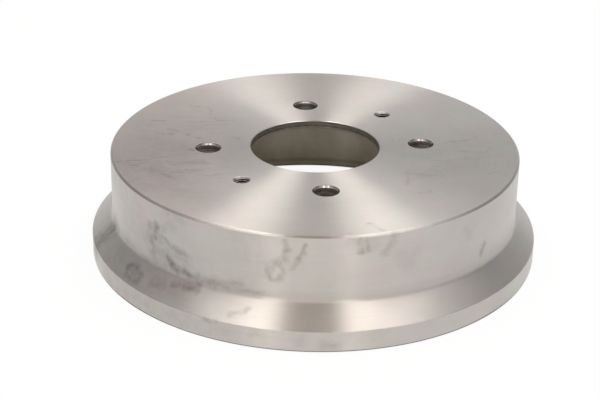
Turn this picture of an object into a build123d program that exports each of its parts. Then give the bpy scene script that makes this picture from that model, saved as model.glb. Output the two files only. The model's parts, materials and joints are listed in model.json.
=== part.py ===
from build123d import *
import os

# Brake drum: one grey-iron casting, turned all over outside, open mouth down.
# Origin at the middle of the rim face, +Z up the turning axis, millimetres, degrees.
# The first wheel-stud hole lies on +X; the wheel face is the top.

# Inside: the shoes bear on the friction bore
friction_radius = 101.6       # 8 inch drum, 203.2 across
lead_in_depth = 3.0           # tapered mouth that lets the shoes in
lead_in_radial = 1.0
relief_depth = 0.8            # tool run-out groove above the friction bore
relief_start = 45.0           # height where the friction bore ends
relief_radius = friction_radius + relief_depth
inner_corner_fillet = 4.0

# Outside wall
total_height = 57.0           # rim face to wheel face
wall_thickness = 7.4          # as new, before the bore wears
body_radius = friction_radius + wall_thickness    # 218 across
wheel_face_chamfer = 1.0      # 45 degrees round the top edge

# Stiffening flange at the mouth
flange_projection = 11.0      # stands this far out from the wall
flange_radius = body_radius + flange_projection   # 240 across
flange_band = 11.0            # straight outer band, up from the rim face
flare_rise = flange_projection                    # the flare stands at 45 degrees
neck_fillet = 3.5             # where the flare runs into the wall
band_edge_fillet = 0.5
rim_edge_chamfer = 1.0        # outside edge of the rim face

# Web, the disc that the wheel and the hub clamp
web_thickness = 5.0
hub_face_z = total_height - web_thickness     # machined seat for the hub flange
hub_seat_radius = 80.0
web_root_width = 6.4          # flat ring at the wall, where the web is thickest
web_root_drop = 1.5
web_root_radius = relief_radius - web_root_width

# Centre bore, spigots on the hub
bore_radius = 34.5            # 69 across
bore_top_chamfer = 0.3
bore_bottom_chamfer = 1.0

# Wheel-stud holes
stud_count = 4
stud_circle_radius = 57.15    # 114.3 pitch circle
stud_hole_radius = 6.25       # clears an M12 stud
stud_mouth_radius = 7.0
stud_back_chamfer = 0.4

# Jacking holes, M8 x 1.25: two screws in them push a seized drum off its hub
jack_circle_radius = 59.0
jack_angles = (45.0, 225.0)
jack_tap_radius = 3.4         # tapping drill 6.8
jack_mouth_radius = 4.5


def corner(sketch, radius, height):
    """The corner of the half section nearest to a radius and a height."""
    return sketch.vertices().sort_by_distance((radius, height, 0))[0]


with BuildPart() as brake_drum:
    # Half section through the drum, turned about the axis
    with BuildSketch(Plane.XZ) as section:
        with BuildLine():
            Polyline(
                (friction_radius + lead_in_radial, 0),
                (flange_radius - rim_edge_chamfer, 0),
                (flange_radius, rim_edge_chamfer),
                (flange_radius, flange_band),
                (body_radius, flange_band + flare_rise),
                (body_radius, total_height - wheel_face_chamfer),
                (body_radius - wheel_face_chamfer, total_height),
                (bore_radius + bore_top_chamfer, total_height),
                (bore_radius, total_height - bore_top_chamfer),
                (bore_radius, hub_face_z + bore_bottom_chamfer),
                (bore_radius + bore_bottom_chamfer, hub_face_z),
                (hub_seat_radius, hub_face_z),
                (web_root_radius, hub_face_z - web_root_drop),
                (relief_radius, hub_face_z - web_root_drop),
                (relief_radius, relief_start + relief_depth),
                (friction_radius, relief_start),
                (friction_radius, lead_in_depth),
                close=True,
            )
        make_face()
        fillet(corner(section, body_radius, flange_band + flare_rise), radius=neck_fillet)
        fillet(corner(section, flange_radius, flange_band), radius=band_edge_fillet)
        fillet(corner(section, relief_radius, hub_face_z - web_root_drop), radius=inner_corner_fillet)
    revolve(axis=Axis.Z)

    # Holes through the web, countersunk on the wheel face
    with Locations((0, 0, total_height)):
        with PolarLocations(stud_circle_radius, stud_count):
            CounterSinkHole(
                radius=stud_hole_radius,
                counter_sink_radius=stud_mouth_radius,
                depth=web_thickness + 1,
                counter_sink_angle=90,
            )
        for angle in jack_angles:
            with PolarLocations(jack_circle_radius, 1, start_angle=angle):
                CounterSinkHole(
                    radius=jack_tap_radius,
                    counter_sink_radius=jack_mouth_radius,
                    depth=web_thickness + 1,
                    counter_sink_angle=90,
                )

    # Broken edges where the holes leave the hub seat
    seat_edges = (
        brake_drum.edges()
        .filter_by(GeomType.CIRCLE)
        .filter_by_position(Axis.Z, hub_face_z - 0.01, hub_face_z + 0.01)
    )
    stud_backs = seat_edges.filter_by(lambda e: abs(e.radius - stud_hole_radius) < 0.01)
    jack_backs = seat_edges.filter_by(lambda e: abs(e.radius - jack_tap_radius) < 0.01)
    chamfer(stud_backs + jack_backs, length=stud_back_chamfer)

os.makedirs("parts", exist_ok=True)
brake_drum.part.label = "brake_drum"
export_step(brake_drum.part, "parts/brake_drum.step")
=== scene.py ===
"""Brake drum in turned grey iron: the drum with its drilled and tapped web, and the studio round it."""

import json
import math

import bpy
from mathutils import Matrix, Vector


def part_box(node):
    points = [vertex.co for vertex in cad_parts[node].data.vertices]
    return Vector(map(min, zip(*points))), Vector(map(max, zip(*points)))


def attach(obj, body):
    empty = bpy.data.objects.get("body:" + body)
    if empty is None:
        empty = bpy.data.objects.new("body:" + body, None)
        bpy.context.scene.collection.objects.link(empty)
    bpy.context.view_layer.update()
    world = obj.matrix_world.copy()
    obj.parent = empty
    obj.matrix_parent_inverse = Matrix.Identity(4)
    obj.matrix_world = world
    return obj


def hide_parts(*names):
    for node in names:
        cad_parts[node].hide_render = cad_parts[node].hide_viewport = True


bl_info = {
    "name": "Brake Drum",
    "version": (1, 0, 0),
    "blender": (4, 5, 0),
    "location": "3D View > Sidebar > Brake Drum",
    "description": "Turns a brake drum with its drilled web and lays a studio stage round it",
    "category": "Object",
}

MM = 0.001
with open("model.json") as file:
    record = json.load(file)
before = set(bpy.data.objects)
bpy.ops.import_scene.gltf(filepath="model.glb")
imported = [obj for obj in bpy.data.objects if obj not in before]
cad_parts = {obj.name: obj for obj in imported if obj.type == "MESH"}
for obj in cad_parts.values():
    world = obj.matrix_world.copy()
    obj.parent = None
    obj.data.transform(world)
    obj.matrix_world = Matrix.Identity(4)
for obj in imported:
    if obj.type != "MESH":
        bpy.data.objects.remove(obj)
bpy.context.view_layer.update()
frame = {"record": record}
DRUM_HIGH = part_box("brake_drum")[1]
MOUNTS = {mount["name"]: mount for mount in frame["record"]["mounts"]}


def colour(hex_code):
    """Linear RGBA of an sRGB hex colour."""
    parts = [int(hex_code[i:i + 2], 16) / 255 for i in (1, 3, 5)]
    return [p / 12.92 if p <= 0.04045 else ((p + 0.055) / 1.055) ** 2.4 for p in parts] + [1.0]


def add(tree, kind, inputs=(), **settings):
    """Adds one node with its settings. Inputs are given by place or by name, as a value or as what links
    there. Where sockets share a name, the one that the settings switch on is meant."""
    node = tree.nodes.new(kind)
    for name, value in settings.items():
        setattr(node, name, value)
    for key, value in inputs.items() if isinstance(inputs, dict) else enumerate(inputs):
        if isinstance(key, int):
            socket = node.inputs[key]
        else:
            socket = next(s for s in node.inputs if s.enabled and s.name == key)
        if isinstance(value, bpy.types.Node):
            value = next(s for s in value.outputs if s.enabled)
        if isinstance(value, bpy.types.NodeSocket):
            tree.links.new(value, socket)
        elif value is not None:
            socket.default_value = value
    return node


def open_tree(name, kind, inputs, outputs):
    """A new node group with named inputs and outputs, the sockets that its inputs come from and those that
    its outputs go to."""
    tree = bpy.data.node_groups.new(name, kind)
    for in_out, sockets in (("INPUT", inputs), ("OUTPUT", outputs)):
        for label, socket_type, value in sockets:
            socket = tree.interface.new_socket(label, in_out=in_out, socket_type="NodeSocket" + socket_type)
            if value is not None:
                socket.default_value = value
    return tree, tree.nodes.new("NodeGroupInput").outputs, tree.nodes.new("NodeGroupOutput").inputs


def about_axis(tree, place):
    """A place's height, its level vector from the drum's axis, and its distance from it."""
    parts = add(tree, "ShaderNodeSeparateXYZ", [place]).outputs
    level = add(tree, "ShaderNodeCombineXYZ", [parts["X"], parts["Y"], 0.0])
    radius = add(tree, "ShaderNodeVectorMath", [level], operation="LENGTH").outputs["Value"]
    return parts["Z"], level, radius


# Sizes

class DrumSizes(bpy.types.PropertyGroup):
    """Sizes of the turned drum."""

    height: bpy.props.FloatProperty(
        name="Height", description="Rim face to wheel face", default=DRUM_HIGH.z,
        min=0.02, unit="LENGTH")
    flange_radius: bpy.props.FloatProperty(
        name="Flange radius", description="Outside of the stiffening flange", default=DRUM_HIGH.x,
        min=0.05, unit="LENGTH")
    body_radius: bpy.props.FloatProperty(
        name="Body radius", description="Outside of the drum wall", default=109 * MM,
        min=0.05, unit="LENGTH")
    friction_radius: bpy.props.FloatProperty(
        name="Friction radius", description="Bore that the brake shoes bear on",
        default=MOUNTS["friction_surface"]["dims"]["r_mm"] * MM, min=0.05, unit="LENGTH")
    band: bpy.props.FloatProperty(
        name="Flange band", description="Height of the flange's straight outer band", default=11 * MM,
        min=0.002, unit="LENGTH")
    neck_fillet: bpy.props.FloatProperty(
        name="Neck fillet", description="Radius where the flare runs into the wall", default=3.5 * MM,
        min=0.0, unit="LENGTH")
    web: bpy.props.FloatProperty(
        name="Web thickness", description="Wheel face to hub seat", default=5 * MM,
        min=0.002, unit="LENGTH")
    bore_radius: bpy.props.FloatProperty(
        name="Bore radius", description="Centre bore that spigots on the hub",
        default=MOUNTS["centre_bore"]["dims"]["r_mm"] * MM, min=0.01, unit="LENGTH")
    segments: bpy.props.IntProperty(
        name="Segments", description="Faces round the axis", default=360, min=32)


class HoleSizes(bpy.types.PropertyGroup):
    """Sizes of the holes through the web."""

    stud_count: bpy.props.IntProperty(
        name="Stud holes", description="Wheel-stud holes on the pitch circle",
        default=MOUNTS["wheel_studs"]["dims"]["count"], min=3)
    stud_circle: bpy.props.FloatProperty(
        name="Stud circle radius", description="Half the pitch circle of the stud holes",
        default=MOUNTS["wheel_studs"]["dims"]["pcd_mm"] / 2 * MM, min=0.02, unit="LENGTH")
    stud_radius: bpy.props.FloatProperty(
        name="Stud hole radius", description="Clearance hole for a wheel stud",
        default=MOUNTS["wheel_studs"]["dims"]["hole_r_mm"] * MM, min=0.002, unit="LENGTH")
    stud_mouth: bpy.props.FloatProperty(
        name="Stud mouth radius", description="Countersink of a stud hole at the wheel face", default=7 * MM,
        min=0.002, unit="LENGTH")
    stud_sink: bpy.props.FloatProperty(
        name="Stud countersink depth", description="How deep that countersink is", default=1.3 * MM,
        min=0.0, unit="LENGTH")
    jack_circle: bpy.props.FloatProperty(
        name="Jacking circle radius", description="How far out the jacking holes lie", default=59 * MM,
        min=0.02, unit="LENGTH")
    jack_turn: bpy.props.FloatProperty(
        name="Jacking hole turn", description="Angle of the pair of jacking holes from the first stud hole",
        default=math.radians(45), unit="ROTATION", subtype="ANGLE")
    jack_minor: bpy.props.FloatProperty(
        name="Thread crest radius", description="Crest of the jacking thread", default=3.33 * MM,
        min=0.001, unit="LENGTH")
    jack_major: bpy.props.FloatProperty(
        name="Thread root radius", description="Root of the jacking thread", default=4 * MM,
        min=0.001, unit="LENGTH")
    jack_mouth: bpy.props.FloatProperty(
        name="Jacking mouth radius", description="Countersink of a jacking hole at the wheel face",
        default=4.5 * MM, min=0.001, unit="LENGTH")
    jack_pitch: bpy.props.FloatProperty(
        name="Thread pitch", description="Rise of the jacking thread in one turn", default=1.25 * MM,
        min=0.0002, unit="LENGTH")


class IronFinish(bpy.types.PropertyGroup):
    """Colours and gloss of the turned iron."""

    bright: bpy.props.FloatVectorProperty(
        name="Bright iron", description="Freshly turned grey iron", size=4, subtype="COLOR",
        min=0.0, max=1.0, default=colour("#D1C9C6"))
    stained: bpy.props.FloatVectorProperty(
        name="Stained iron", description="Turned iron where cutting oil dried on it", size=4, subtype="COLOR",
        min=0.0, max=1.0, default=colour("#CECBC4"))
    # Painted light: the pinker tint that warmer light gives one side of the wheel face
    lamp_tinted_iron: bpy.props.FloatVectorProperty(
        name="Tarnished iron", description="Turned iron that the air has begun to tarnish", size=4,
        subtype="COLOR", min=0.0, max=1.0, default=colour("#D6C5BF"))
    oiled: bpy.props.FloatVectorProperty(
        name="Oiled iron", description="The inside under a film of keeping oil", size=4, subtype="COLOR",
        min=0.0, max=1.0, default=colour("#D6CDBE"))
    # The inside turns to this colour in patches of thicker oil and towards the mouth
    inside_darker: bpy.props.FloatVectorProperty(
        name="Pooled oil", description="The inside where the oil is thicker", size=4, subtype="COLOR",
        min=0.0, max=1.0, default=colour("#A0967F"))
    rust: bpy.props.FloatVectorProperty(
        name="Flash rust", description="The first thin rust on bare iron", size=4, subtype="COLOR",
        min=0.0, max=1.0, default=colour("#B8998A"))
    drilled: bpy.props.FloatVectorProperty(
        name="Drilled iron", description="Walls of the stud holes", size=4, subtype="COLOR",
        min=0.0, max=1.0, default=colour("#DAD6D4"))
    bored: bpy.props.FloatVectorProperty(
        name="Bored iron", description="Wall of the centre bore, dark with oil", size=4, subtype="COLOR",
        min=0.0, max=1.0, default=colour("#DED7CB"))
    # Dark oil in patches in the jacking holes, and also the painted shade in their thread roots and the dark
    # line at the lead-in
    dark_oil_and_shade: bpy.props.FloatVectorProperty(
        name="Dark oil", description="Oil in the roots of a thread and at the lead-in", size=4,
        subtype="COLOR", min=0.0, max=1.0, default=colour("#4A423B"))
    # Also the colour towards which painted shade on the band and at the neck corner darkens the iron
    dull: bpy.props.FloatVectorProperty(
        name="Handled iron", description="Iron dulled by oil and handling", size=4, subtype="COLOR",
        min=0.0, max=1.0, default=colour("#5B514B"))
    cast: bpy.props.FloatVectorProperty(
        name="Casting skin", description="Iron as it came out of the sand", size=4, subtype="COLOR",
        min=0.0, max=1.0, default=colour("#8A8580"))
    roughness: bpy.props.FloatProperty(
        name="Roughness", description="Roughness of the turned surface", default=0.343, min=0.0, max=1.0,
        subtype="FACTOR")


class StudioStage(bpy.types.PropertyGroup):
    """Floor, lamps and camera."""

    floor: bpy.props.FloatVectorProperty(
        name="Floor", description="Matt white floor", size=4, subtype="COLOR", min=0.0, max=1.0,
        default=colour("#F4F4F4"))
    # Painted shadow: the floor's darker paint where it lies under the drum
    painted_shadow_floor: bpy.props.FloatVectorProperty(
        name="Floor under the drum", description="Floor that only the drum's inside sees", size=4,
        subtype="COLOR", min=0.0, max=1.0, default=colour("#8E867C"))
    whiteness: bpy.props.FloatProperty(
        name="Floor whiteness", description="How much of the floor's shade gives way to plain white",
        default=0.94, min=0.0, max=1.0, subtype="FACTOR")
    under_light: bpy.props.FloatProperty(
        name="Light under the drum", description="Floor brightness inside the drum against that outside",
        default=0.18, min=0.0, max=1.0, subtype="FACTOR")
    strip_energy: bpy.props.FloatProperty(
        name="Strip lamp power", description="Power of each long overhead lamp", default=7.95, min=0.0,
        unit="POWER")
    stand_energy: bpy.props.FloatProperty(
        name="Stand lamp power", description="Power of each slim lamp before the drum", default=0.95, min=0.0,
        unit="POWER")
    side_energy: bpy.props.FloatProperty(
        name="Side lamp power", description="Power of the wide lamp to the right", default=0.7, min=0.0,
        unit="POWER")
    strip_colour: bpy.props.FloatVectorProperty(
        name="Strip lamp colour", description="A little warmer than the room", size=3, subtype="COLOR",
        min=0.0, max=1.0, default=colour("#FFFBF6")[:3])
    front_colour: bpy.props.FloatVectorProperty(
        name="Room colour in front", description="The room behind the camera is a little warmer", size=4,
        subtype="COLOR", min=0.0, max=1.0, default=colour("#FFF5EC"))
    view_turn: bpy.props.FloatProperty(
        name="View turn", description="How far the camera and the lamps stand round the drum",
        default=math.radians(-6.0556), unit="ROTATION", subtype="ANGLE")
    elevation: bpy.props.FloatProperty(
        name="Camera elevation", description="Camera height above the rim face as an angle",
        default=math.radians(26.8221), unit="ROTATION", subtype="ANGLE")
    distance: bpy.props.FloatProperty(
        name="Camera distance", description="Camera to the middle of the rim face", default=0.895257,
        min=0.1, unit="LENGTH")
    aim: bpy.props.FloatVectorProperty(
        name="Camera aim", description="Tilt, pan and roll off the line to the drum", size=3,
        default=[math.radians(a) for a in (1.4131, -0.4869, 1.3243)], unit="ROTATION", subtype="EULER")
    lens: bpy.props.FloatProperty(
        name="Lens", description="Focal length on a 36 mm wide sensor", default=97.5, min=1.0,
        unit="CAMERA")


# The turned drum

# What the drum has inside, at the sizes of the solid
RELIEF_START, RELIEF_DEPTH = 45 * MM, 0.8 * MM       # tool run-out groove above the friction bore
INNER_CORNER = 4 * MM                                # fillet between the wall and the web
WEB_ROOT, WEB_ROOT_DROP = 96 * MM, 1.5 * MM          # outside this radius the web is thicker
HUB_SEAT = 80 * MM                                   # machined out to this radius
LEAD_IN_DEPTH = 3 * MM                               # tapered mouth of the friction bore


def outline(name, points):
    """An outline of half a turned shape: points of (radius, height, fillet radius, fillet steps)."""
    mesh = bpy.data.meshes.new(name)
    mesh.from_pydata([(r, 0, z) for r, z, _, _ in points], [(i, i + 1) for i in range(len(points) - 1)], [])
    mesh.attributes.new("fillet", "FLOAT", "POINT").data.foreach_set("value", [p[2] for p in points])
    mesh.attributes.new("steps", "INT", "POINT").data.foreach_set("value", [p[3] for p in points])
    made = bpy.data.objects.new(name, mesh)
    bpy.context.scene.collection.objects.link(made)
    return made


def drum_outline(s):
    """The drum's half section, from the friction bore over the web, down the outside and back through the
    mouth. A point without a fillet on a straight stretch ends the narrow faces that smooth shading needs."""
    broken, touched, fine = 0.15 * MM, 0.1 * MM, 2       # edges that were broken, and only just
    chamfer, bore_chamfer, band_fillet = 1 * MM, 0.35 * MM, 0.5 * MM
    margin = 0.6 * MM                                    # from a corner to where its narrow faces end
    start = 20 * MM                                      # where the line starts and ends on the friction bore
    body, flange = s.body_radius, s.flange_radius
    relief = s.friction_radius + RELIEF_DEPTH
    seat = s.height - s.web
    root = seat - WEB_ROOT_DROP
    neck = s.band + (flange - body)                      # the flare stands at 45 degrees
    neck_end = s.neck_fillet * math.tan(math.radians(22.5)) + margin
    down_flare = neck_end * math.cos(math.radians(45))
    return outline("drum outline", [
        (s.friction_radius, start, 0, 1),
        (s.friction_radius, RELIEF_START, touched, fine),
        (relief, RELIEF_START + RELIEF_DEPTH, touched, fine),
        (relief, root, INNER_CORNER, 10),
        (WEB_ROOT, root, 1 * MM, 4),
        (HUB_SEAT, seat, 0.3 * MM, 3),
        (HUB_SEAT - margin, seat, 0, 1),
        (s.bore_radius + chamfer, seat, broken, fine),
        (s.bore_radius, seat + chamfer, broken, fine),
        (s.bore_radius, s.height - bore_chamfer, touched, fine),
        (s.bore_radius + bore_chamfer, s.height, touched, fine),
        (s.bore_radius + bore_chamfer + margin, s.height, 0, 1),
        (body - chamfer - margin, s.height, 0, 1),
        (body - chamfer, s.height, broken, 3),
        (body, s.height - chamfer, broken, 3),
        (body, s.height - chamfer - margin, 0, 1),
        (body, neck + neck_end, 0, 1),
        (body, neck, s.neck_fillet, 12),
        (body + down_flare, neck - down_flare, 0, 1),
        (flange - margin, s.band + margin, 0, 1),
        (flange, s.band, band_fillet, 6),
        (flange, s.band - margin, 0, 1),
        (flange, chamfer + margin, 0, 1),
        (flange, chamfer, broken, 3),
        (flange - chamfer, 0, broken, 3),
        (s.friction_radius + chamfer, 0, broken, fine),
        (s.friction_radius, LEAD_IN_DEPTH, 0.3 * MM, fine),
        (s.friction_radius, start, 0, 1),
    ])


def cutter_outline(name, hole, mouth, sink, top, seat):
    """A cutter's half section: a countersink, the hole, and a broken edge where it leaves the hub seat."""
    over, back = 2 * MM, 0.4 * MM
    edge = 0.12 * MM        # the mouth's own edge is rounded a little, in two steps
    return outline(name, [
        (0, top + over, 0, 1),
        (mouth + 2.2 * edge, top + over, 0, 1),
        (mouth + 1.2 * edge, top + 0.1 * edge, 0, 1),
        (mouth - 0.6 * edge, top - 0.6 * edge, 0, 1),
        (hole, top - sink, 0.1 * MM, 2),
        (hole, seat + back, 0.05 * MM, 1),
        (hole + back + over, seat - over, 0, 1),
        (0, seat - over, 0, 1),
    ])


def turning_tree():
    """Turns an outline about the upright axis into a closed solid."""
    tree, given, result = open_tree(
        "turn an outline", "GeometryNodeTree", [("Outline", "Geometry", None), ("Segments", "Int", 64)],
        [("Mesh", "Geometry", None)])
    line = add(tree, "GeometryNodeMeshToCurve", [given["Outline"]])
    fillet = add(tree, "GeometryNodeInputNamedAttribute", ["fillet"], data_type="FLOAT")
    steps = add(tree, "GeometryNodeInputNamedAttribute", ["steps"], data_type="INT")
    round_off = add(tree, "GeometryNodeFilletCurve", {
        "Curve": line, "Count": steps, "Radius": fillet, "Limit Radius": True}, mode="POLY")
    # A grid with a row for each point of the line and a column for each step round the axis
    size = add(tree, "GeometryNodeAttributeDomainSize", [round_off], component="CURVE")
    across = add(tree, "ShaderNodeMath", [given["Segments"], 1.0], operation="ADD")
    grid = add(tree, "GeometryNodeMeshGrid", {
        "Vertices X": size.outputs["Point Count"], "Vertices Y": across})
    index = add(tree, "GeometryNodeInputIndex")
    column = add(tree, "ShaderNodeMath", [index, across], operation="FLOORED_MODULO")
    rows = add(tree, "ShaderNodeMath", [index, across], operation="DIVIDE")
    row = add(tree, "ShaderNodeMath", [rows], operation="FLOOR")
    sample = add(tree, "GeometryNodeSampleIndex", {
        "Geometry": round_off, "Value": add(tree, "GeometryNodeInputPosition"), "Index": row},
        data_type="FLOAT_VECTOR", domain="POINT")
    point = add(tree, "ShaderNodeSeparateXYZ", [sample]).outputs
    share = add(tree, "ShaderNodeMath", [column, given["Segments"]], operation="DIVIDE")
    angle = add(tree, "ShaderNodeMath", [share, math.tau], operation="MULTIPLY")
    sideways = [add(tree, "ShaderNodeMath",
                    [add(tree, "ShaderNodeMath", [angle], operation=wave), point["X"]],
                    operation="MULTIPLY") for wave in ("COSINE", "SINE")]
    turned = add(tree, "GeometryNodeSetPosition", {
        "Geometry": grid, "Position": add(tree, "ShaderNodeCombineXYZ", [*sideways, point["Z"]])})
    closed = add(tree, "GeometryNodeMergeByDistance", {"Geometry": turned, "Distance": 0.001 * MM})
    tree.links.new(closed.outputs[0], result["Mesh"])
    return tree


def thread_tree():
    """A thread groove as a closed tool shape: a trapezoid swept along a spiral."""
    tree, given, result = open_tree("thread groove", "GeometryNodeTree", [
        ("Pitch", "Float", 1.25 * MM), ("Crest Radius", "Float", 3.33 * MM), ("Root Radius", "Float", 4 * MM),
        ("Start Height", "Float", 50 * MM), ("Turns", "Float", 8.0)], [("Mesh", "Geometry", None)])
    depth = add(tree, "ShaderNodeMath", [given["Root Radius"], given["Crest Radius"]], operation="SUBTRACT")
    reach = add(tree, "ShaderNodeMath", [depth, 1.3], operation="MULTIPLY")      # on into the open hole
    middle = add(tree, "ShaderNodeMath", [reach, -0.5, given["Root Radius"]], operation="MULTIPLY_ADD")
    rise = add(tree, "ShaderNodeMath", [given["Pitch"], given["Turns"]], operation="MULTIPLY")
    spiral = add(tree, "GeometryNodeCurveSpiral", {
        "Resolution": 64, "Rotations": given["Turns"], "Start Radius": middle, "End Radius": middle,
        "Height": rise})
    lift = add(tree, "ShaderNodeCombineXYZ", [0.0, 0.0, given["Start Height"]])
    spiral = add(tree, "GeometryNodeSetPosition", {"Geometry": spiral, "Offset": lift})
    upright = add(tree, "GeometryNodeSetCurveNormal", {"Curve": spiral}, mode="Z_UP")
    # A 60 degree groove, an eighth of the pitch wide at its root
    widest, narrowest = (add(tree, "ShaderNodeMath", [given["Pitch"], share], operation="MULTIPLY")
                         for share in (0.93, 0.125))
    groove = add(tree, "GeometryNodeCurvePrimitiveQuadrilateral", {
        "Bottom Width": widest, "Top Width": narrowest, "Offset": 0.0, "Height": reach}, mode="TRAPEZOID")
    groove = add(tree, "GeometryNodeTransform", {"Geometry": groove, "Rotation": (0.0, 0.0, math.pi / 2)})
    swept = add(tree, "GeometryNodeCurveToMesh", {
        "Curve": upright, "Profile Curve": groove, "Fill Caps": True})
    tree.links.new(swept.outputs[0], result["Mesh"])
    return tree


def drum_tree():
    """The whole drum: the turned blank less its stud holes and its tapped jacking holes."""
    tree, given, result = open_tree("drum", "GeometryNodeTree", [
        *((name, "Object", None) for name in ("Blank", "Stud Cutter", "Jacking Cutter")),
        ("Segments", "Int", 360), ("Stud Holes", "Int", 4), ("Stud Circle", "Float", 57.15 * MM),
        ("Jacking Circle", "Float", 59 * MM), ("Jacking Turn", "Float", math.radians(45)),
        ("Thread Pitch", "Float", 1.25 * MM), ("Thread Crest", "Float", 3.33 * MM),
        ("Thread Root", "Float", 4 * MM), ("Thread Turns", "Float", 7.0),
        ("Seat Height", "Float", 52 * MM), ("Skin Foot", "Float", 46.5 * MM),
        ("Skin Radius", "Float", 80 * MM), ("Inside Radius", "Float", 103 * MM),
        ("Bore Edge", "Float", 35.4 * MM), ("Bore Top", "Float", 56.3 * MM),
        *((name, "Material", None) for name in (
            "Turned Iron", "Oiled Iron", "Drilled Iron", "Tapped Iron", "Casting Skin"))],
        [("Geometry", "Geometry", None)])
    turn = turning_tree()
    faces = 72        # round each hole

    def turned(name, segments, iron):
        """One outline, turned to a solid and given its material."""
        source = add(tree, "GeometryNodeObjectInfo", [given[name]])
        solid = add(tree, "GeometryNodeGroup", {
            "Outline": source.outputs["Geometry"], "Segments": segments}, node_tree=turn)
        return add(tree, "GeometryNodeSetMaterial", {"Geometry": solid, "Material": given[iron]})

    def copies(points, solid):
        """A solid on each point, as real geometry."""
        placed = add(tree, "GeometryNodeInstanceOnPoints", {"Points": points, "Instance": solid})
        return add(tree, "GeometryNodeRealizeInstances", [placed])

    def where(*limits):
        """Where each of the values is under its limit."""
        found = None
        for value, limit in limits:
            under = add(tree, "FunctionNodeCompare", [value, limit], data_type="FLOAT", operation="LESS_THAN")
            found = under if found is None else add(
                tree, "FunctionNodeBooleanMath", [found, under], operation="AND")
        return found

    circle = add(tree, "GeometryNodeMeshCircle", {
        "Vertices": given["Stud Holes"], "Radius": given["Stud Circle"]})
    studs = copies(circle, turned("Stud Cutter", faces, "Drilled Iron"))
    reach = given["Jacking Circle"]
    across = add(tree, "ShaderNodeMath", [reach, -2.0], operation="MULTIPLY")
    pair = add(tree, "GeometryNodeMeshLine", {
        "Count": 2, "Start Location": add(tree, "ShaderNodeCombineXYZ", [reach, 0.0, 0.0]),
        "Offset": add(tree, "ShaderNodeCombineXYZ", [across, 0.0, 0.0])})
    pair = add(tree, "GeometryNodeTransform", {
        "Geometry": pair, "Rotation": add(tree, "ShaderNodeCombineXYZ", [0.0, 0.0, given["Jacking Turn"]])})
    taps = copies(pair, turned("Jacking Cutter", faces, "Tapped Iron"))
    start = add(tree, "ShaderNodeMath", [given["Seat Height"], given["Thread Pitch"]], operation="SUBTRACT")
    thread = add(tree, "GeometryNodeGroup", {
        "Pitch": given["Thread Pitch"], "Crest Radius": given["Thread Crest"],
        "Root Radius": given["Thread Root"], "Turns": given["Thread Turns"], "Start Height": start},
        node_tree=thread_tree())
    thread = add(tree, "GeometryNodeSetMaterial", {"Geometry": thread, "Material": given["Tapped Iron"]})

    drum = turned("Blank", given["Segments"], "Turned Iron")
    for cutters in (studs, taps, copies(pair, thread)):
        drum = add(tree, "GeometryNodeMeshBoolean", {"Mesh 1": drum, "Mesh 2": cutters},
                   operation="DIFFERENCE", solver="EXACT")
    drum = add(tree, "GeometryNodeMergeByDistance", {"Geometry": drum, "Distance": 0.002 * MM})
    drum = add(tree, "GeometryNodeSetShadeSmooth", {"Geometry": drum, "Shade Smooth": True}, domain="FACE")
    # An edge where the surface turns by more than 8 degrees stays sharp
    bend = add(tree, "GeometryNodeInputMeshEdgeAngle")
    sharp = add(tree, "FunctionNodeCompare", [bend.outputs["Unsigned Angle"], math.radians(8)],
                data_type="FLOAT", operation="GREATER_THAN")
    drum = add(tree, "GeometryNodeSetShadeSmooth", {
        "Geometry": drum, "Selection": sharp, "Shade Smooth": False}, domain="EDGE")
    drum = add(tree, "GeometryNodeRealizeInstances", [drum])
    # The blank is bright outside, as cast round the hub seat, oiled inside and dark in its centre bore
    height, _, radius = about_axis(tree, add(tree, "GeometryNodeInputPosition"))
    inside = (radius, given["Inside Radius"])
    for iron, place in (
            ("Casting Skin", where(inside, (height, given["Seat Height"]), (given["Skin Radius"], radius))),
            ("Oiled Iron", where(inside, (height, given["Skin Foot"]))),
            ("Drilled Iron", where((radius, given["Bore Edge"]), (height, given["Bore Top"])))):
        drum = add(tree, "GeometryNodeSetMaterial", {
            "Geometry": drum, "Selection": place, "Material": given[iron]})
    tree.links.new(drum.outputs[0], result["Geometry"])
    return tree


def plain_piece(name, tree, inputs):
    """Runs a geometry tree on an empty object and returns its result as a plain mesh object."""
    holder = bpy.data.objects.new(name + " maker", bpy.data.meshes.new(name + " maker"))
    bpy.context.scene.collection.objects.link(holder)
    modifier = holder.modifiers.new("maker", "NODES")
    modifier.node_group = tree
    identifiers = {item.name: item.identifier for item in tree.interface.items_tree if item.in_out == "INPUT"}
    for label, value in inputs.items():
        modifier[identifiers[label]] = value
    bpy.context.view_layer.update()
    graph = bpy.context.evaluated_depsgraph_get()
    mesh = bpy.data.meshes.new_from_object(holder.evaluated_get(graph), depsgraph=graph)
    holder.modifiers.remove(modifier)
    bpy.data.objects.remove(holder)
    mesh.name = name
    piece = bpy.data.objects.new(name, mesh)
    bpy.context.scene.collection.objects.link(piece)
    return piece
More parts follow.
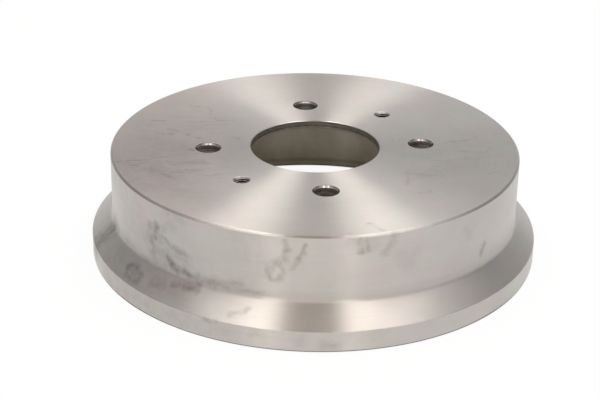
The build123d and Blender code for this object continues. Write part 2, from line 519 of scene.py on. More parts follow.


# Materials

# Rubs, finger marks, scratches and painted shade, each a stroke on its surface: where it starts, where it
# ends, its width in millimetres and its depth of tone. On the face x and y in millimetres; on the turned
# sides the angle from the first stud hole in degrees and the height in millimetres.
FACE_MARKS = (
    (-106, -16, -94, -15, 1, 0.34), (-92, -14, -80, -11, 3, 0.18), (-79, -18, -60, -18, 1, 0.26),
    (-83, -32, -76, -37, 3, 0.32), (-90, -28, -81, -23, 2, 0.18), (-99, -41, -87, -34, 1, 0.2),
    (-78, -30, -69, -27, 2, 0.2), (-87, -20, -70, -21, 5, 0.14), (-88, -27, -75, -37, 9, 0.22),
    (-93, -44, -77, -44, 5, 0.1), (-88, 12, -67, -3, 12, 0.08), (-65, 59, -55, 56, 1, 0.22),
    (-55, 56, -51, 37, 1, 0.22), (-51, 37, -41, 37, 1, 0.2), (-86, 39, -80, 39, 1, 0.24),
    (-84, 21, -75, 19, 1, 0.24), (-78, 27, -61, 12, 1, 0.2), (-86, 3, -81, -1, 1, 0.22),
    (-70, 0, -65, -4, 1, 0.28), (-43, 13, -40, 10, 1, 0.22), (71, 0, 90, 7, 1, 0.16),
    (77, -11, 90, -14, 1, 0.16), (90, -14, 95, -8, 1, 0.16), (46, -38, 55, -42, 2, 0.16),
    (55, -42, 62, -41, 2, 0.16), (57, -35, 67, -34, 1, 0.14), (47, -62, 53, -60, 1, 0.16),
    (44, -36, 42, -54, 1, 0.12), (86, -40, 92, -38, 1, 0.14), (50, -40, 79, -30, 10, 0.07),
    (17, -96, 22, -103, 1.5, 0.26), (-92, -12, -72, -58, 28, 0.11),
)
# On the wall the stroke from -158 to -152 degrees at 24 mm is painted shade in the corner at the neck
WALL_MARKS = (
    (-142, 45, -142, 38, 2, 0.42), (-144.5, 42, -143, 29, 5, 0.28), (-147, 35, -144, 27, 4, 0.16),
    (-143, 30, -137, 28.5, 9, 0.2), (-119, 28, -116, 27.5, 4, 0.12), (-138, 54.5, -132, 54.5, 4, 0.14),
    (-158, 24, -152, 24, 3, 0.16), (-140, 44, -136, 49, 4, 0.15), (-141, 40, -130, 35, 2, 0.3),
    (-140, 36, -131, 32, 6, 0.15), (-137, 29, -134, 25, 3, 0.5), (-131.5, 26, -126.5, 24, 3, 0.42),
    (-126.5, 24.5, -121.5, 25, 2, 0.4), (-122, 26, -115, 28, 4, 0.22),
    (-121.5, 24.5, -109, 24.5, 1.5, 0.2), (-148, 22, -141, 24, 2, 0.2),
    (-107.5, 36.5, -106.5, 41, 2, 0.32), (-106.5, 41, -104.5, 41.5, 2, 0.32),
    (-104.5, 41.5, -103.5, 37.5, 2, 0.26), (-103.5, 37.5, -104.5, 33, 2, 0.26),
    (-104.5, 33, -106.5, 32.5, 2, 0.26), (-106.5, 32.5, -107.5, 36.5, 2, 0.32),
    (-103, 54, -102.5, 49, 1.5, 0.24), (-102.5, 49, -103, 43.5, 2, 0.34),
    (-98, 51.5, -99.5, 44.5, 1.2, 0.4), (-99.5, 44.5, -101, 40, 1.2, 0.26), (-109, 41, -109, 34, 6, 0.1),
    (-115, 51, -113, 41, 7, 0.08), (-84, 54, -83.7, 49, 1.5, 0.36), (-82.3, 54, -82, 50, 1.5, 0.32),
    (-86, 54, -81, 52, 4, 0.16), (-75, 54, -77.5, 46, 2, 0.2), (-73, 43, -71.5, 39, 4, 0.08),
    (-69, 44, -70, 38, 3, 0.07), (-43.5, 34, -45, 30, 1.5, 0.3), (-52, 48, -51, 44, 2.5, 0.1),
    (-92, 31, -86, 33, 8, 0.05), (-150, 30, -112, 31, 20, 0.05), (-154, 38, -143, 38, 14, 0.08),
)
FLARE_MARKS = (
    (-150.5, 16.5, -148, 18, 2, 0.42), (-148, 18, -145, 16.5, 2, 0.42),
    (-145, 16.5, -144.5, 13.5, 2, 0.36), (-144.5, 13.5, -147.5, 12.5, 2, 0.36),
    (-147.5, 12.5, -150, 13.5, 2, 0.42), (-150, 13.5, -150.5, 16.5, 2, 0.42),
    (-148.5, 15.5, -146.5, 14.5, 6, 0.26), (-170, 12.5, -168.5, 21, 9, 0.42),
    (-168, 15, -156, 15, 10, 0.12), (-134.5, 19, -132.5, 19, 2, 0.22), (-131, 19.4, -126, 19.7, 2, 0.34),
    (-140, 16, -136, 17, 3, 0.22), (-137, 13.5, -130, 14, 7, 0.06), (-115.5, 14, -111.5, 17.5, 1.5, 0.3),
    (-122, 10, -119, 11, 2, 0.25),
)
# Most strokes on the band are painted shade: they dim its lamp streaks and glints and darken its left side
BAND_SHADE_AND_MARKS = (
    (-158, 5, -138, 5, 11, 0.14), (-138, 5, -116, 5, 11, 0.1), (-110, 7.5, -107.5, 7.5, 3, 0.14),
    (-99.5, 6, -98, 6, 3, 0.14), (-93, 4, -90, 3.5, 4, 0.18), (-92, 6, -81, 6, 8, 0.07),
)
# Where flash rust has begun, told in the same way
FLARE_RUST = ((-134, 19, -127, 20, 3, 0.42), (-138.5, 15, -129, 16, 6, 0.22), (-144, 20, -138, 19, 5, 0.2))
# Where the face was dragged over a bench and is finely scuffed
FACE_SCUFFS = ((-95, -20, -62, -24, 26, 1.0), (-78, 30, -60, 34, 24, 0.5), (60, -24, 84, -16, 26, 0.42))


def on_face(sizes, marks):
    """Marks on the wheel face as their two ends, their reach to each side and their tone."""
    top, fade = sizes.height / MM, 0.6        # a stroke fades out a little past its width
    return [(Vector((x0, y0, top)) * MM, Vector((x1, y1, top)) * MM, (width + fade) * MM, tone)
            for x0, y0, x1, y1, width, tone in marks]


def on_side(sizes, marks):
    """The same for marks on the wall, the flare and the band, by angle and height."""
    found, fade, softer = [], 1, 1.1        # these fade out over a little more than those on the face
    for a0, h0, a1, h1, width, tone in marks:
        ends = []
        for angle, height in ((math.radians(a0), h0 * MM), (math.radians(a1), h1 * MM)):
            radius = sizes.flange_radius
            if height >= sizes.band:
                radius = max(sizes.body_radius, sizes.flange_radius + sizes.band - height)
            ends.append(Vector((radius * math.cos(angle), radius * math.sin(angle), height)))
        found.append((*ends, softer * (width + fade) * MM, tone))
    return found


def stroke_tree():
    """Tone of one stroke, for rubs and painted shade alike: full along its middle, falling away at both sides
    and below nothing past its reach."""
    tree, given, result = open_tree("stroke of rub and shade", "ShaderNodeTree", [
        ("Place", "Vector", None), ("Start", "Vector", None), ("Run", "Vector", None),
        ("Per Length", "Float", 1.0), ("Fall", "Float", -300.0), ("Tone", "Float", 0.3)],
        [("Tone", "Float", None)])
    off = add(tree, "ShaderNodeVectorMath", [given["Place"], given["Start"]], operation="SUBTRACT")
    ahead = add(tree, "ShaderNodeVectorMath", [off, given["Run"]], operation="DOT_PRODUCT").outputs["Value"]
    share = add(tree, "ShaderNodeMath", [ahead, given["Per Length"]], operation="MULTIPLY")
    # A Clamp node here, because a clamped Math node takes so much room that few strokes would fit
    share = add(tree, "ShaderNodeClamp", [share])
    nearest = add(tree, "ShaderNodeVectorMath", {0: given["Run"], "Scale": share}, operation="SCALE")
    gap = add(tree, "ShaderNodeVectorMath", [off, nearest], operation="DISTANCE").outputs["Value"]
    tone = add(tree, "ShaderNodeMath", [gap, given["Fall"], given["Tone"]], operation="MULTIPLY_ADD")
    tree.links.new(tone.outputs[0], result["Tone"])
    return tree


def new_material(name):
    """An empty node material, its tree, and the place on the object."""
    material = bpy.data.materials.new(name)
    material.use_nodes = True
    material.node_tree.nodes.clear()
    return material, material.node_tree, add(material.node_tree, "ShaderNodeTexCoord").outputs["Object"]


def lathe_lay(tree, place):
    """What a lathe leaves on a surface: the direction in which the tool ran, the distance across the rings,
    the place for a pattern of rings, and fine rings."""
    height, level, radius = about_axis(tree, place)
    outward = add(tree, "ShaderNodeVectorMath", [level], operation="NORMALIZE")
    along = add(tree, "ShaderNodeVectorMath", [(0.0, 0.0, 1.0), outward], operation="CROSS_PRODUCT")
    # Distance across the rings: outward on the faces, downward on the walls
    across = add(tree, "ShaderNodeMath", [radius, height], operation="SUBTRACT")
    # Once round the drum the pattern moves by a few millimetres only, so that it runs along the rings
    drift = add(tree, "ShaderNodeVectorMath", {0: outward, "Scale": 4 * MM}, operation="SCALE")
    ring_place = add(tree, "ShaderNodeVectorMath", [
        drift, add(tree, "ShaderNodeCombineXYZ", [0.0, 0.0, across])], operation="ADD")
    # The tool's feed is about 0.2 mm. Its rings are drawn 1.11 mm wide, because finer ones wouldn't show
    rings = add(tree, "ShaderNodeTexNoise", {
        "Vector": ring_place, "Scale": 1 / (1.11 * MM), "Detail": 4.0, "Roughness": 0.6})
    return along, across, ring_place, rings


def handling_and_shade(tree, place, sizes):
    """How smudged or scuffed, how darkened by painted shade and how rusty each place of the outside is."""
    # Strokes are bent a little, and then broken up into spots of about 4 mm
    bend = add(tree, "ShaderNodeTexNoise", {
        "Vector": place, "Scale": 1 / (6.67 * MM), "Detail": 3.0, "Roughness": 0.45})
    shift = add(tree, "ShaderNodeVectorMath", [bend.outputs["Color"], (0.5, 0.5, 0.5)], operation="SUBTRACT")
    shift = add(tree, "ShaderNodeVectorMath", {0: shift, "Scale": 6 * MM}, operation="SCALE")
    drawn = add(tree, "ShaderNodeVectorMath", [place, shift], operation="ADD")
    group = stroke_tree()

    def deepest(marks):
        """The deepest tone of any of the marks at each place."""
        found = 0.0
        for start, end, reach, tone in marks:
            run = end - start
            mark = add(tree, "ShaderNodeGroup", {
                "Place": drawn, "Start": start, "Run": run, "Per Length": 1.0 / run.length_squared,
                "Fall": -tone / reach, "Tone": tone}, node_tree=group)
            found = add(tree, "ShaderNodeMath", [found, mark], operation="MAXIMUM")
        return found

    smudges_and_shade = deepest(on_face(sizes, FACE_MARKS) + on_side(sizes, WALL_MARKS + FLARE_MARKS + BAND_SHADE_AND_MARKS))
    spots = add(tree, "ShaderNodeTexNoise", {"Vector": place, "Scale": 1 / (3.85 * MM), "Detail": 2.0})
    broken = add(tree, "ShaderNodeMapRange", [spots, 0.35, 0.6, 0.55, 1.15])
    smudges_and_shade = add(tree, "ShaderNodeMath", [smudges_and_shade, broken], operation="MULTIPLY")
    # Scuffs are scratches some 17 mm long and 2.4 mm apart, all along one line
    drag = add(tree, "ShaderNodeMapping", {
        "Vector": drawn, "Scale": [1 / (size * MM) for size in (16.7, 2.38, 16.7)]})
    lines = add(tree, "ShaderNodeTexNoise", {"Vector": drag, "Scale": 1.0, "Detail": 3.0, "Roughness": 0.6})
    scuffs = add(tree, "ShaderNodeMath", [
        add(tree, "ShaderNodeMapRange", [lines, 0.5, 0.72, 0.0, 0.38]),
        deepest(on_face(sizes, FACE_SCUFFS))], operation="MULTIPLY")
    worn_and_shaded = add(tree, "ShaderNodeMath", [smudges_and_shade, scuffs], operation="MAXIMUM", use_clamp=True)
    rusty = add(tree, "ShaderNodeMath", [deepest(on_side(sizes, FLARE_RUST)), broken], operation="MULTIPLY",
                use_clamp=True)
    return worn_and_shaded, rusty


def dirt_and_shade(tree, place, across, rings, sizes):
    """How much oil and painted shade darken each place: a thin film of oil, more of it between the rings, a
    darker band on the chamfered top edge, and painted shade on the wall just above the corner where it meets
    the flare."""
    cloud = add(tree, "ShaderNodeTexNoise", {"Vector": place, "Scale": 1 / (22.2 * MM), "Detail": 3.0})
    film = add(tree, "ShaderNodeMapRange", [cloud, 0.35, 0.7, 0.0, 0.07])
    grain = add(tree, "ShaderNodeMapRange", [rings, 0.35, 0.75, 0.0, 0.05])
    top_edge = sizes.body_radius - sizes.height
    edge = add(tree, "ShaderNodeMath", [across, top_edge, 1 * MM], operation="COMPARE")
    total = add(tree, "ShaderNodeMath", [edge, 0.13, film], operation="MULTIPLY_ADD")
    # Painted shade on the wall just above the corner where it meets the flare
    corner = sizes.body_radius - (sizes.band + sizes.flange_radius - sizes.body_radius)
    corner_shade = add(tree, "ShaderNodeMath", [
        add(tree, "ShaderNodeMapRange", [across, corner - 6 * MM, corner - 0.5 * MM, 0.0, 0.08]),
        add(tree, "ShaderNodeMapRange", [across, corner, corner + 0.8 * MM, 1.0, 0.0])], operation="MULTIPLY")
    for more in (corner_shade, grain):
        total = add(tree, "ShaderNodeMath", [total, more], operation="ADD")
    return total


def turned_iron(finish, sizes):
    """Grey iron, turned in a lathe: bright, a little warm, with fine rings that stretch every highlight
    across them, so that bright wedges lie on the wheel face, with smudge marks, painted shade on the band and
    at the neck, and a painted pinker light on one side of the wheel face."""
    material, tree, place = new_material("turned grey iron")
    along, across, ring_place, rings = lathe_lay(tree, place)
    # Faint pink and olive patches, where the cutting oil dried
    patches = add(tree, "ShaderNodeTexNoise", {
        "Vector": place, "Scale": 1 / (16.7 * MM), "Detail": 3.0, "Roughness": 0.6})
    patches = add(tree, "ShaderNodeMapRange", [patches, 0.38, 0.62])
    bare = add(tree, "ShaderNodeMix", {"Factor": patches, "A": finish.bright[:], "B": finish.stained[:]},
               data_type="RGBA")
    # Painted light: one side of the wheel face is tinted pinker, for the warmer light that falls there
    on_top = add(tree, "ShaderNodeMath", [across, sizes.body_radius - sizes.height], operation="LESS_THAN")
    aside = add(tree, "ShaderNodeSeparateXYZ", [place]).outputs["X"]
    painted_side_tint = add(tree, "ShaderNodeMapRange", [aside, -35 * MM, -75 * MM, 0.0, 0.5])
    painted_side_tint = add(tree, "ShaderNodeMath", [painted_side_tint, on_top], operation="MULTIPLY")
    bare = add(tree, "ShaderNodeMix", {"Factor": painted_side_tint, "A": bare, "B": finish.lamp_tinted_iron[:]},
               data_type="RGBA")

    worn_and_shaded, rusty = handling_and_shade(tree, place, sizes)
    bare = add(tree, "ShaderNodeMix", {"Factor": rusty, "A": bare, "B": finish.rust[:]}, data_type="RGBA")
    dulled = add(tree, "ShaderNodeMath", [dirt_and_shade(tree, place, across, rings, sizes), worn_and_shaded], operation="ADD",
                 use_clamp=True)
    tint = add(tree, "ShaderNodeMix", {"Factor": dulled, "A": bare, "B": finish.dull[:]}, data_type="RGBA")
    # Some rings are a little rougher than others, and so are the smudge marks and the strokes of painted
    # shade
    torn = add(tree, "ShaderNodeTexNoise", {"Vector": ring_place, "Scale": 1 / (1.43 * MM), "Detail": 3.0})
    torn = add(tree, "ShaderNodeMapRange", [
        torn, 0.4, 0.66, finish.roughness - 0.008, finish.roughness + 0.012])
    gloss = add(tree, "ShaderNodeMath", [worn_and_shaded, 0.12, torn], operation="MULTIPLY_ADD")
    bump = add(tree, "ShaderNodeBump", {"Strength": 0.15, "Distance": 0.02 * MM, "Height": rings})
    shader = add(tree, "ShaderNodeBsdfPrincipled", {
        "Base Color": tint, "Metallic": 1.0, "Roughness": gloss, "Anisotropic": 0.98,
        "Anisotropic Rotation": 0.25, "Tangent": along, "Normal": bump})
    add(tree, "ShaderNodeOutputMaterial", {"Surface": shader})
    return material


def oiled_iron(finish):
    """Turned grey iron under a film of keeping oil: the inside, browner than the outside and duller, and
    darker still towards the mouth."""
    material, tree, place = new_material("oiled grey iron")
    along, _, _, rings = lathe_lay(tree, place)
    patchy = add(tree, "ShaderNodeTexNoise", {
        "Vector": place, "Scale": 1 / (16.7 * MM), "Detail": 4.0, "Roughness": 0.6})
    patchy = add(tree, "ShaderNodeMapRange", [patchy, 0.35, 0.65, 0.0, 0.35])
    height = add(tree, "ShaderNodeSeparateXYZ", [place]).outputs["Z"]
    low = add(tree, "ShaderNodeMapRange", [height, 18 * MM, 4 * MM, 0.0, 0.65])
    patchy_and_low = add(tree, "ShaderNodeMath", [patchy, low], operation="ADD")
    tint = add(tree, "ShaderNodeMix", {"Factor": patchy_and_low, "A": finish.oiled[:], "B": finish.inside_darker[:]},
               data_type="RGBA")
    # A dark line along the edge where the lead-in starts
    edge = LEAD_IN_DEPTH
    line = add(tree, "ShaderNodeMath", [
        add(tree, "ShaderNodeMapRange", [height, edge + 2.4 * MM, edge + 1 * MM, 0.0, 0.3]),
        add(tree, "ShaderNodeMapRange", [height, edge - 1 * MM, edge])], operation="MULTIPLY")
    tint = add(tree, "ShaderNodeMix", {"Factor": line, "A": tint, "B": finish.dark_oil_and_shade[:]}, data_type="RGBA")
    bump = add(tree, "ShaderNodeBump", {"Strength": 0.15, "Distance": 0.02 * MM, "Height": rings})
    shader = add(tree, "ShaderNodeBsdfPrincipled", {
        "Base Color": tint, "Metallic": 1.0, "Roughness": finish.roughness, "Anisotropic": 0.9,
        "Anisotropic Rotation": 0.25, "Tangent": along, "Normal": bump})
    add(tree, "ShaderNodeOutputMaterial", {"Surface": shader})
    return material


def drilled_iron(finish, bore_radius, sink_foot):
    """Drilled and bored grey iron: the walls of the holes, darker than the faces, with rings round the
    tool's path, and bright countersinks above them."""
    material, tree, place = new_material("drilled grey iron")
    height, _, radius = about_axis(tree, place)
    beyond = add(tree, "ShaderNodeMapRange", [radius, bore_radius + 1 * MM, bore_radius + 3 * MM])
    wall = add(tree, "ShaderNodeMix", {"Factor": beyond, "A": finish.bored[:], "B": finish.drilled[:]},
               data_type="RGBA")
    # The drill's feed, 0.91 mm a ring: coarser than the real one, so that it shows
    upward = add(tree, "ShaderNodeCombineXYZ", [0.0, 0.0, height])
    feed = add(tree, "ShaderNodeTexNoise", {
        "Vector": upward, "Scale": 1 / (0.91 * MM), "Detail": 3.0, "Roughness": 0.6})
    stain = add(tree, "ShaderNodeTexNoise", {
        "Vector": place, "Scale": 1 / (3.85 * MM), "Detail": 4.0, "Roughness": 0.6})
    tone = add(tree, "ShaderNodeMath", [
        add(tree, "ShaderNodeMapRange", [feed, 0.42, 0.58, 0.0, 0.6]),
        add(tree, "ShaderNodeMapRange", [stain, 0.35, 0.65, 0.0, 0.25])], operation="ADD")
    sunk = add(tree, "ShaderNodeMapRange", [height, sink_foot - 0.1 * MM, sink_foot + 0.05 * MM])
    wall = add(tree, "ShaderNodeMix", {"Factor": sunk, "A": wall, "B": finish.bright[:]}, data_type="RGBA")
    tone = add(tree, "ShaderNodeMath", [
        tone, add(tree, "ShaderNodeMapRange", [sunk, 0.0, 1.0, 1.0, 0.45])], operation="MULTIPLY")
    tint = add(tree, "ShaderNodeMix", {"Factor": tone, "A": wall, "B": finish.dull[:]}, data_type="RGBA")
    bump = add(tree, "ShaderNodeBump", {"Strength": 0.5, "Distance": 0.06 * MM, "Height": feed})
    gloss = add(tree, "ShaderNodeMapRange", [sunk, 0.0, 1.0, 0.32, 0.2])
    shader = add(tree, "ShaderNodeBsdfPrincipled", {
        "Base Color": tint, "Metallic": 1.0, "Roughness": gloss, "Normal": bump})
    add(tree, "ShaderNodeOutputMaterial", {"Surface": shader})
    return material


def tapped_iron(finish, holes, top):
    """Tapped grey iron: crests and mouth bright from the tap, with painted shade in the roots of the thread
    and patches of dark oil.
    """
    material, tree, place = new_material("tapped grey iron")
    turned = add(tree, "ShaderNodeVectorRotate", {"Vector": place, "Angle": -holes.jack_turn},
                 rotation_type="Z_AXIS")
    turned = add(tree, "ShaderNodeSeparateXYZ", [turned]).outputs
    # Both holes lie on one line through the axis, so the distance to the nearer one needs no hole's number
    aside = add(tree, "ShaderNodeMath", [turned["X"]], operation="ABSOLUTE")
    outward = add(tree, "ShaderNodeMath", [aside, holes.jack_circle], operation="SUBTRACT")
    radius = add(tree, "ShaderNodeVectorMath", [
        add(tree, "ShaderNodeCombineXYZ", [outward, turned["Y"], 0.0])], operation="LENGTH").outputs["Value"]
    crest, depth = holes.jack_minor, holes.jack_major - holes.jack_minor
    # Painted shade in the roots of the thread, with less of it at the mouth
    shaded_roots = add(tree, "ShaderNodeMath", [
        add(tree, "ShaderNodeMapRange", [radius, crest + 0.15 * depth, crest + 0.6 * depth]),
        add(tree, "ShaderNodeMapRange", [turned["Z"], top - 0.8 * MM, top - 0.45 * MM, 1.0, 0.1])],
        operation="MULTIPLY")
    patchy = add(tree, "ShaderNodeTexNoise", {
        "Vector": place, "Scale": 1 / (2 * MM), "Detail": 3.0, "Roughness": 0.6})
    patchy = add(tree, "ShaderNodeMapRange", [patchy, 0.35, 0.65, 0.0, 0.4])
    tone = add(tree, "ShaderNodeMath", [shaded_roots, patchy], operation="MAXIMUM")
    tint = add(tree, "ShaderNodeMix", {"Factor": tone, "A": finish.bright[:], "B": finish.dark_oil_and_shade[:]},
               data_type="RGBA")
    shader = add(tree, "ShaderNodeBsdfPrincipled", {"Base Color": tint, "Metallic": 1.0, "Roughness": 0.35})
    add(tree, "ShaderNodeOutputMaterial", {"Surface": shader})
    return material


def casting_skin(finish):
    """Grey iron as cast in green sand: a dark, matt skin with the sand's grain, drawn 1.43 mm coarse, because
    the real grain of about 0.3 mm wouldn't show."""
    material, tree, place = new_material("sand-cast grey iron")
    grain = add(tree, "ShaderNodeTexNoise", {
        "Vector": place, "Scale": 1 / (1.43 * MM), "Detail": 5.0, "Roughness": 0.65})
    tone = add(tree, "ShaderNodeMapRange", [grain, 0.3, 0.7])
    tint = add(tree, "ShaderNodeMix", {"Factor": tone, "A": finish.cast[:], "B": finish.dull[:]},
               data_type="RGBA")
    bump = add(tree, "ShaderNodeBump", {"Strength": 0.8, "Distance": 0.25 * MM, "Height": grain})
    shader = add(tree, "ShaderNodeBsdfPrincipled", {
        "Base Color": tint, "Metallic": 0.3, "Roughness": 0.7, "Normal": bump})
    add(tree, "ShaderNodeOutputMaterial", {"Surface": shader})
    return material


def studio_white(stage, drum):
    """Matt white floor paint, which the camera and the metal see as white except in the drum's own shadow:
    in a thin line along its foot and under it, apart from a ring that is seen white through the centre
    bore. Under the drum the paint itself is a darker colour, a painted shadow."""
    material, tree, place = new_material("matt white studio floor")
    glow = add(tree, "ShaderNodeEmission", {"Color": colour("#FFFFFF"), "Strength": 1.0})
    radius = add(tree, "ShaderNodeVectorMath", [place], operation="LENGTH").outputs["Value"]
    foot, inner = drum.flange_radius, drum.friction_radius
    # Where the floor is white outside the drum, where the ring under it starts and ends, and how far in
    # the drum's own metal mirrors a bright floor
    round_it, bore_back, bore_front, mirror_edge = (
        add(tree, "ShaderNodeMapRange", [radius, *limits], interpolation_type="SMOOTHSTEP") for limits in (
            (foot - 0.8 * MM, foot + 0.25 * MM), (inner - 22 * MM, inner - 17 * MM),
            (inner + 0.4 * MM, inner - 1.2 * MM), (foot - 1.6 * MM, foot - 0.6 * MM, stage.under_light)))
    through_bore = add(tree, "ShaderNodeMath", [bore_back, bore_front], operation="MULTIPLY")
    ray = add(tree, "ShaderNodeLightPath").outputs
    open_floor = add(tree, "ShaderNodeMath", [round_it, through_bore], operation="MAXIMUM")
    seen = add(tree, "ShaderNodeMath", [ray["Is Camera Ray"], open_floor], operation="MULTIPLY")
    # Under the drum the floor is painted that darker colour, a painted shadow
    ground = add(tree, "ShaderNodeMix", {
        "Factor": open_floor, "A": stage.painted_shadow_floor[:], "B": stage.floor[:]}, data_type="RGBA")
    paint = add(tree, "ShaderNodeBsdfDiffuse", {"Color": ground})
    other = add(tree, "ShaderNodeMath", [ray["Is Glossy Ray"], ray["Is Transmission Ray"]],
                operation="MAXIMUM")
    mirrored = add(tree, "ShaderNodeMath", [other, mirror_edge], operation="MULTIPLY")
    share = add(tree, "ShaderNodeMath", [seen, mirrored], operation="MAXIMUM")
    share = add(tree, "ShaderNodeMath", [share, stage.whiteness], operation="MULTIPLY")
    shown = add(tree, "ShaderNodeMixShader", [share, paint, glow])
    # Only its upper side is there, so that the drum can be looked at from below
    below = add(tree, "ShaderNodeNewGeometry").outputs["Backfacing"]
    one_sided = add(tree, "ShaderNodeMixShader", [below, shown, add(tree, "ShaderNodeBsdfTransparent")])
    add(tree, "ShaderNodeOutputMaterial", {"Surface": one_sided})
    return material


# Operators

class DRUM_OT_turn_drum(bpy.types.Operator):
    """Turns the drum, drills and taps its web, and dresses it in turned iron"""

    bl_idname = "brake_drum.turn_drum"
    bl_label = "Turn the Drum"

    def execute(self, context):
        scene = context.scene
        sizes, holes, finish = scene.drum_sizes, scene.hole_sizes, scene.iron_finish
        top, seat = sizes.height, sizes.height - sizes.web
        helpers = [
            drum_outline(sizes),
            cutter_outline("stud cutter outline", holes.stud_radius, holes.stud_mouth, holes.stud_sink, top,
                           seat),
            cutter_outline("jacking cutter outline", holes.jack_minor, holes.jack_mouth,
                           holes.jack_mouth - holes.jack_minor, top, seat),
        ]
        drum = plain_piece("turned_drum", drum_tree(), {
            "Blank": helpers[0], "Stud Cutter": helpers[1], "Jacking Cutter": helpers[2],
            "Segments": sizes.segments, "Stud Holes": holes.stud_count, "Stud Circle": holes.stud_circle,
            "Jacking Circle": holes.jack_circle, "Jacking Turn": holes.jack_turn,
            "Thread Pitch": holes.jack_pitch, "Thread Crest": holes.jack_minor,
            "Thread Root": holes.jack_major,
            # From a turn under the web to two turns above it
            "Thread Turns": sizes.web / holes.jack_pitch + 3, "Seat Height": seat,
            "Skin Foot": seat - WEB_ROOT_DROP - INNER_CORNER, "Skin Radius": HUB_SEAT,
            "Inside Radius": sizes.friction_radius + RELIEF_DEPTH + 0.6 * MM,
            "Bore Edge": sizes.bore_radius + 0.9 * MM, "Bore Top": top - 0.7 * MM,
            "Turned Iron": turned_iron(finish, sizes), "Oiled Iron": oiled_iron(finish),
            "Drilled Iron": drilled_iron(finish, sizes.bore_radius, top - holes.stud_sink),
            "Tapped Iron": tapped_iron(finish, holes, top), "Casting Skin": casting_skin(finish)})
        for helper in helpers:
            bpy.data.objects.remove(helper)
        if not drum.data.polygons:
            raise RuntimeError("the drum's geometry tree made no solid")
        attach(drum, "root")
        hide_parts("brake_drum")
        return {"FINISHED"}


# The room's brightness at each height above the floor, in degrees: all round, then what is added towards
# the camera and taken away behind, then what is added before and behind and taken away at the sides
ROOM_LIGHT = (
    ((0, 0.80), (12, 0.49), (28, 0.52), (48, 0.76), (70, 0.56), (90, 0.46)),
    ((0, 0.14), (12, 0.45), (28, 0.12), (48, -0.37), (70, 0.06), (90, 0.0)),
    ((0, 0.04), (12, 0.21), (28, 0.48), (48, 0.0), (70, -0.32), (90, 0.0)),
)


def lay_floor(scene, stage):
    """A floor that fills the view. It lies a hair under the drum's foot, so that no two faces coincide."""
    reach, depth = 6.0, 0.02 * MM
    mesh = bpy.data.meshes.new("studio_floor")
    mesh.from_pydata([(x * reach, y * reach, -depth) for x, y in ((-1, -1), (1, -1), (1, 1), (-1, 1))], [],
                     [(0, 1, 2, 3)])
    mesh.materials.append(studio_white(stage, scene.drum_sizes))
    floor = bpy.data.objects.new("studio_floor", mesh)
    scene.collection.objects.link(floor)


def light_room(scene, stage):
    """The world: a white room, whose brightness changes from floor level to overhead and round the drum."""
    world = bpy.data.worlds.new("white studio")
    scene.world = world
    world.use_nodes = True
    tree = world.node_tree
    tree.nodes.clear()
    ray = add(tree, "ShaderNodeVectorRotate", {
        "Vector": add(tree, "ShaderNodeTexCoord").outputs["Generated"], "Angle": -stage.view_turn},
        rotation_type="Z_AXIS")
    ray = add(tree, "ShaderNodeSeparateXYZ", [ray]).outputs
    level = add(tree, "ShaderNodeVectorMath", [
        add(tree, "ShaderNodeCombineXYZ", [ray["X"], ray["Y"], 0.0])], operation="NORMALIZE")
    # 1 towards the camera and -1 behind the drum
    facing = add(tree, "ShaderNodeMath", [add(tree, "ShaderNodeSeparateXYZ", [level]).outputs["Y"], -1.0],
                 operation="MULTIPLY")
    # 1 before and behind and -1 at the sides
    squared = add(tree, "ShaderNodeMath", [facing, facing], operation="MULTIPLY")
    fore_aft = add(tree, "ShaderNodeMath", [squared, 2.0, -1.0], operation="MULTIPLY_ADD")
    room = 0.0
    for weight, heights in zip((1.0, facing, fore_aft), ROOM_LIGHT):
        curve = add(tree, "ShaderNodeFloatCurve", {"Value": ray["Z"]})
        line = curve.mapping.curves[0]
        curve.mapping.use_clip = False
        while len(line.points) < len(heights):
            line.points.new(0.5, 0.5)
        for point, (angle, value) in zip(line.points, heights):
            point.location = (math.sin(math.radians(angle)), value)
            point.handle_type = "VECTOR"
        curve.mapping.update()
        room = add(tree, "ShaderNodeMath", [curve, weight, room], operation="MULTIPLY_ADD")
    dome = add(tree, "ShaderNodeMath", [room, 0.0], operation="MAXIMUM")
    # The room is warmer towards the camera
    near = add(tree, "ShaderNodeMapRange", [facing, 0.35, 0.9])
    warm = add(tree, "ShaderNodeMix", {"Factor": near, "A": colour("#FFFFFF"), "B": stage.front_colour[:]},
               data_type="RGBA")
    walls = add(tree, "ShaderNodeBackground", {"Color": warm, "Strength": dome})
    add(tree, "ShaderNodeOutputWorld", {"Surface": walls})


# Where each lamp hangs, which way its long side runs, and its width and length, in metres, as told from
# the camera's side: x to the right, y away from it and z up. The first two stand on the left as well.
STRIP_PLACE, STRIP_RUN, STRIP_SIZE = (0.5, 0.056, 1.617), (-0.307, -0.952, 0.0), (0.325, 0.973)
STAND_PLACE, STAND_RUN, STAND_SIZE = (0.0, -1.41, 0.57), (0.0, 0.0, 1.0), (0.24, 0.5)
STAND_TURN = math.radians(19.5)        # round the drum, to each side
SIDE_PLACE, SIDE_RUN, SIDE_SIZE = (0.69, 0.0, 0.98), (0.0, 1.0, 0.0), (0.4, 1.0)


def hang_lamp(scene, name, at, along, size, energy):
    """A lamp that shines at the drum from one place, with its long side that way."""
    lamp = bpy.data.lights.new(name, "AREA")
    lamp.shape, lamp.energy, lamp.color = "RECTANGLE", energy, scene.studio_stage.strip_colour
    lamp.size, lamp.size_y = size
    holder = bpy.data.objects.new(name, lamp)
    scene.collection.objects.link(holder)
    back = at.normalized()
    along = (along - back * along.dot(back)).normalized()
    holder.matrix_world = (
        Matrix.Rotation(scene.studio_stage.view_turn, 4, "Z") @ Matrix.Translation(at)
        @ Matrix((along.cross(back), along, back)).transposed().to_4x4())


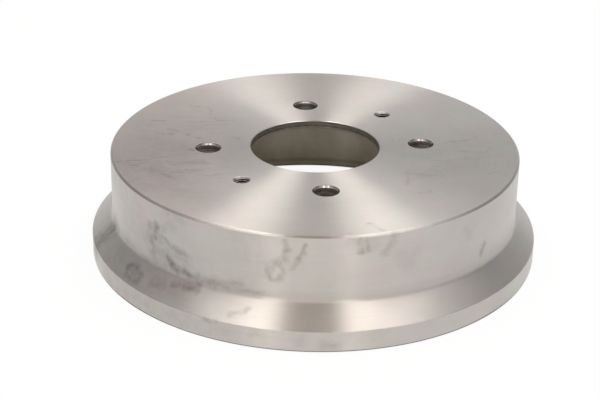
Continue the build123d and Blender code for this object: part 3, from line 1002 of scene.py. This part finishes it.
def set_camera(scene, stage):
    """The camera, where the reference picture was taken from."""
    camera = bpy.data.cameras.new("camera")
    camera.sensor_width, camera.sensor_fit, camera.lens = 36.0, "HORIZONTAL", stage.lens
    camera.clip_start, camera.clip_end = 10 * MM, 20.0
    holder = bpy.data.objects.new("camera", camera)
    scene.collection.objects.link(holder)
    tilt, pan, roll = stage.aim
    holder.matrix_world = (
        Matrix.Rotation(stage.view_turn, 4, "Z") @ Matrix.Rotation(math.pi / 2 - stage.elevation, 4, "X")
        @ Matrix.Translation((0, 0, stage.distance)) @ Matrix.Rotation(tilt, 4, "X")
        @ Matrix.Rotation(-pan, 4, "Y") @ Matrix.Rotation(roll, 4, "Z"))
    scene.camera = holder


class DRUM_OT_lay_stage(bpy.types.Operator):
    """Lays the white floor, the lamps, the world and the camera"""

    bl_idname = "brake_drum.lay_stage"
    bl_label = "Lay the Stage"

    def execute(self, context):
        scene, stage = context.scene, context.scene.studio_stage
        lay_floor(scene, stage)
        light_room(scene, stage)
        for side in (-1, 1):
            # Long lamps overhead, whose reflections are the bright wedges on the wheel face
            mirror = Vector((side, 1, 1))
            hang_lamp(scene, "strip lamp", mirror * Vector(STRIP_PLACE), mirror * Vector(STRIP_RUN),
                      STRIP_SIZE, stage.strip_energy)
            # Slim lamps on stands before the drum draw a soft upright streak on each side of its wall
            turn = Matrix.Rotation(side * STAND_TURN, 3, "Z")
            hang_lamp(scene, "stand lamp", turn @ Vector(STAND_PLACE), Vector(STAND_RUN), STAND_SIZE,
                      stage.stand_energy)
        # A wide lamp to the right makes the bright patch on that side of the flare the broader one
        hang_lamp(scene, "side lamp", Vector(SIDE_PLACE), Vector(SIDE_RUN), SIDE_SIZE, stage.side_energy)
        set_camera(scene, stage)
        scene.view_settings.view_transform = "Standard"
        return {"FINISHED"}


# Panel and registration

class DRUM_PT_sidebar(bpy.types.Panel):
    """Lists the drum's sizes and the steps that make it"""

    bl_label = "Brake Drum"
    bl_idname = "DRUM_PT_sidebar"
    bl_space_type = "VIEW_3D"
    bl_region_type = "UI"
    bl_category = "Brake Drum"

    def draw(self, context):
        for name in GROUPS:
            group = getattr(context.scene, name)
            box = self.layout.box()
            for key in group.bl_rna.properties.keys():
                if key not in ("rna_type", "name"):
                    box.prop(group, key)
        for operator in (DRUM_OT_turn_drum, DRUM_OT_lay_stage):
            self.layout.operator(operator.bl_idname)


GROUPS = {
    "drum_sizes": DrumSizes, "hole_sizes": HoleSizes, "iron_finish": IronFinish, "studio_stage": StudioStage}
CLASSES = (*GROUPS.values(), DRUM_OT_turn_drum, DRUM_OT_lay_stage, DRUM_PT_sidebar)


def register():
    for cls in CLASSES:
        bpy.utils.register_class(cls)
    for name, group in GROUPS.items():
        setattr(bpy.types.Scene, name, bpy.props.PointerProperty(type=group))


def unregister():
    for name in GROUPS:
        delattr(bpy.types.Scene, name)
    for cls in reversed(CLASSES):
        bpy.utils.unregister_class(cls)


def main():
    """Makes the drum and its stage."""
    register()
    bpy.ops.brake_drum.turn_drum()
    bpy.ops.brake_drum.lay_stage()


if __name__ == "__main__":
    main()
